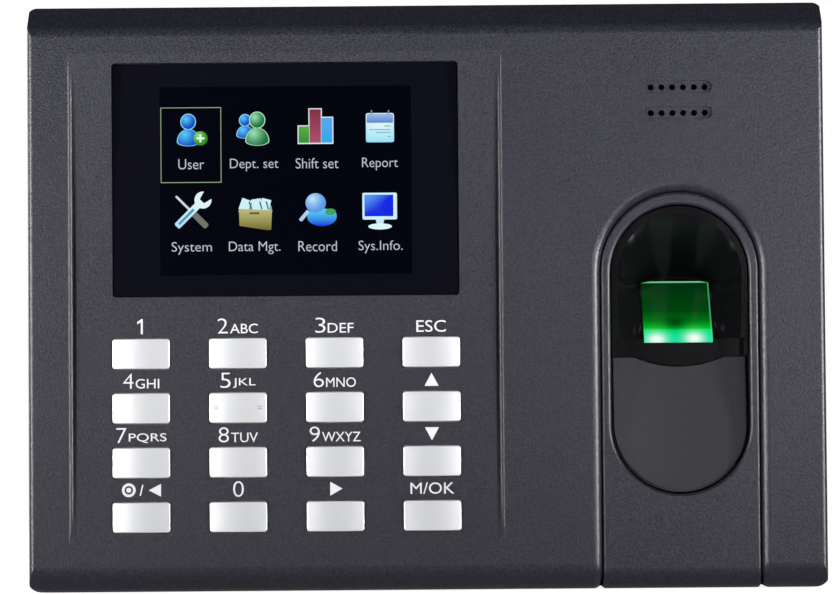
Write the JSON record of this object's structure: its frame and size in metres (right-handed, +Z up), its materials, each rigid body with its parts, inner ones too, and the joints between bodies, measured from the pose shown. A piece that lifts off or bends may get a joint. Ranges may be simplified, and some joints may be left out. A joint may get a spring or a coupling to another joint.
{
  "type": "fingerprint terminal",
  "caption": "Wall-mounted fingerprint terminal with a dished front, display window, keypad, speaker slots and a sloping finger rest under an arch.",
  "frame": {"origin": "centre of the wall plate's four screw holes, on the wall", "axes": "+X to the user's right, +Y into the wall, +Z up; the front faces -Y"},
  "size_m": [0.1826, 0.0385, 0.1345],
  "materials": {
    "case_plastic": "fine textured charcoal moulding",
    "black_plastic": "glossy black",
    "prism_glass": "polished, lit green from below",
    "circuit_board": "green solder mask",
    "ribbon": "amber flexible circuit",
    "display_lens": "dark polished window",
    "sheet_steel": "tinned sheet",
    "display_panel": "dark display glass",
    "light_guide": "white light guide",
    "key_plastic": "silver-white paint",
    "rubber": "soft grey",
    "screw_steel": "zinc plated",
    "chip_plastic": "black epoxy",
    "capacitor_can": "drawn can",
    "terminal_plastic": "green",
    "speaker_paper": "pressed black paper",
    "magnet": "ground",
    "plate_steel": "zinc plated sheet"
  },
  "bodies": {
    "plate": {"wall_plate": "plate_steel", "lock_screw": "screw_steel"},
    "unit": {"front_cover": "case_plastic", "rear_cover": "case_plastic", "finger_bezel": "case_plastic", "finger_rest": "case_plastic", "sensor_hood": "black_plastic", "sensor_prism": "prism_glass", "sensor_led_board": "circuit_board", "sensor_lens_barrel": "black_plastic", "sensor_camera_board": "circuit_board", "sensor_cable": "ribbon", "lcd_lens": "display_lens", "lcd_frame": "sheet_steel", "lcd_panel": "display_panel", "lcd_backlight": "light_guide", "lcd_flex": "ribbon", "keypad_mat": "rubber", "keypad_board": "circuit_board", "main_board": "circuit_board", "board_screws": "screw_steel", "case_screws": "screw_steel", "main_chips": "chip_plastic", "small_components": "chip_plastic", "capacitors": "capacitor_can", "relay": "chip_plastic", "cell_holder": "chip_plastic", "coin_cell": "screw_steel", "buzzer": "chip_plastic", "terminal_block": "terminal_plastic", "power_jack": "chip_plastic", "network_socket": "sheet_steel", "usb_socket": "sheet_steel", "speaker_gasket": "rubber", "speaker_frame": "sheet_steel", "speaker_cone": "speaker_paper", "speaker_magnet": "magnet", "reset_switch": "chip_plastic", "tamper_switch": "chip_plastic"},
    "reset_pin": {"reset_button": "black_plastic"},
    "tamper_pin": {"tamper_plunger": "black_plastic"},
    "key_1_cap": {"key_1": "key_plastic"},
    "key_2_cap": {"key_2": "key_plastic"},
    "key_3_cap": {"key_3": "key_plastic"},
    "key_escape_cap": {"key_escape": "key_plastic"},
    "key_4_cap": {"key_4": "key_plastic"},
    "key_5_cap": {"key_5": "key_plastic"},
    "key_6_cap": {"key_6": "key_plastic"},
    "key_up_cap": {"key_up": "key_plastic"},
    "key_7_cap": {"key_7": "key_plastic"},
    "key_8_cap": {"key_8": "key_plastic"},
    "key_9_cap": {"key_9": "key_plastic"},
    "key_down_cap": {"key_down": "key_plastic"},
    "key_left_cap": {"key_left": "key_plastic"},
    "key_0_cap": {"key_0": "key_plastic"},
    "key_right_cap": {"key_right": "key_plastic"},
    "key_ok_cap": {"key_ok": "key_plastic"}
  },
  "joints": [
    {"name": "unit_lift", "type": "slide", "parent": "plate", "child": "unit", "axis": [0, 0, 1], "range_m": [0, 0.008]},
    {"name": "key_1_press", "type": "slide", "parent": "unit", "child": "key_1_cap", "axis": [0, 1, 0], "range_m": [0, 0.001], "stiffness_N_per_m": 900, "springref_m": -0.0006},
    {"name": "key_2_press", "type": "slide", "parent": "unit", "child": "key_2_cap", "axis": [0, 1, 0], "range_m": [0, 0.001], "stiffness_N_per_m": 900, "springref_m": -0.0006},
    {"name": "key_3_press", "type": "slide", "parent": "unit", "child": "key_3_cap", "axis": [0, 1, 0], "range_m": [0, 0.001], "stiffness_N_per_m": 900, "springref_m": -0.0006},
    {"name": "key_escape_press", "type": "slide", "parent": "unit", "child": "key_escape_cap", "axis": [0, 1, 0], "range_m": [0, 0.001], "stiffness_N_per_m": 900, "springref_m": -0.0006},
    {"name": "key_4_press", "type": "slide", "parent": "unit", "child": "key_4_cap", "axis": [0, 1, 0], "range_m": [0, 0.001], "stiffness_N_per_m": 900, "springref_m": -0.0006},
    {"name": "key_5_press", "type": "slide", "parent": "unit", "child": "key_5_cap", "axis": [0, 1, 0], "range_m": [0, 0.001], "stiffness_N_per_m": 900, "springref_m": -0.0006},
    {"name": "key_6_press", "type": "slide", "parent": "unit", "child": "key_6_cap", "axis": [0, 1, 0], "range_m": [0, 0.001], "stiffness_N_per_m": 900, "springref_m": -0.0006},
    {"name": "key_up_press", "type": "slide", "parent": "unit", "child": "key_up_cap", "axis": [0, 1, 0], "range_m": [0, 0.001], "stiffness_N_per_m": 900, "springref_m": -0.0006},
    {"name": "key_7_press", "type": "slide", "parent": "unit", "child": "key_7_cap", "axis": [0, 1, 0], "range_m": [0, 0.001], "stiffness_N_per_m": 900, "springref_m": -0.0006},
    {"name": "key_8_press", "type": "slide", "parent": "unit", "child": "key_8_cap", "axis": [0, 1, 0], "range_m": [0, 0.001], "stiffness_N_per_m": 900, "springref_m": -0.0006},
    {"name": "key_9_press", "type": "slide", "parent": "unit", "child": "key_9_cap", "axis": [0, 1, 0], "range_m": [0, 0.001], "stiffness_N_per_m": 900, "springref_m": -0.0006},
    {"name": "key_down_press", "type": "slide", "parent": "unit", "child": "key_down_cap", "axis": [0, 1, 0], "range_m": [0, 0.001], "stiffness_N_per_m": 900, "springref_m": -0.0006},
    {"name": "key_left_press", "type": "slide", "parent": "unit", "child": "key_left_cap", "axis": [0, 1, 0], "range_m": [0, 0.001], "stiffness_N_per_m": 900, "springref_m": -0.0006},
    {"name": "key_0_press", "type": "slide", "parent": "unit", "child": "key_0_cap", "axis": [0, 1, 0], "range_m": [0, 0.001], "stiffness_N_per_m": 900, "springref_m": -0.0006},
    {"name": "key_right_press", "type": "slide", "parent": "unit", "child": "key_right_cap", "axis": [0, 1, 0], "range_m": [0, 0.001], "stiffness_N_per_m": 900, "springref_m": -0.0006},
    {"name": "key_ok_press", "type": "slide", "parent": "unit", "child": "key_ok_cap", "axis": [0, 1, 0], "range_m": [0, 0.001], "stiffness_N_per_m": 900, "springref_m": -0.0006},
    {"name": "reset_press", "type": "slide", "parent": "unit", "child": "reset_pin", "axis": [0, -1, 0], "range_m": [0, 0.0003], "stiffness_N_per_m": 800, "springref_m": -0.0003},
    {"name": "tamper_press", "type": "slide", "parent": "unit", "child": "tamper_pin", "axis": [0, -1, 0], "range_m": [0, 0.0006], "stiffness_N_per_m": 500, "springref_m": -0.0006}
  ]
}
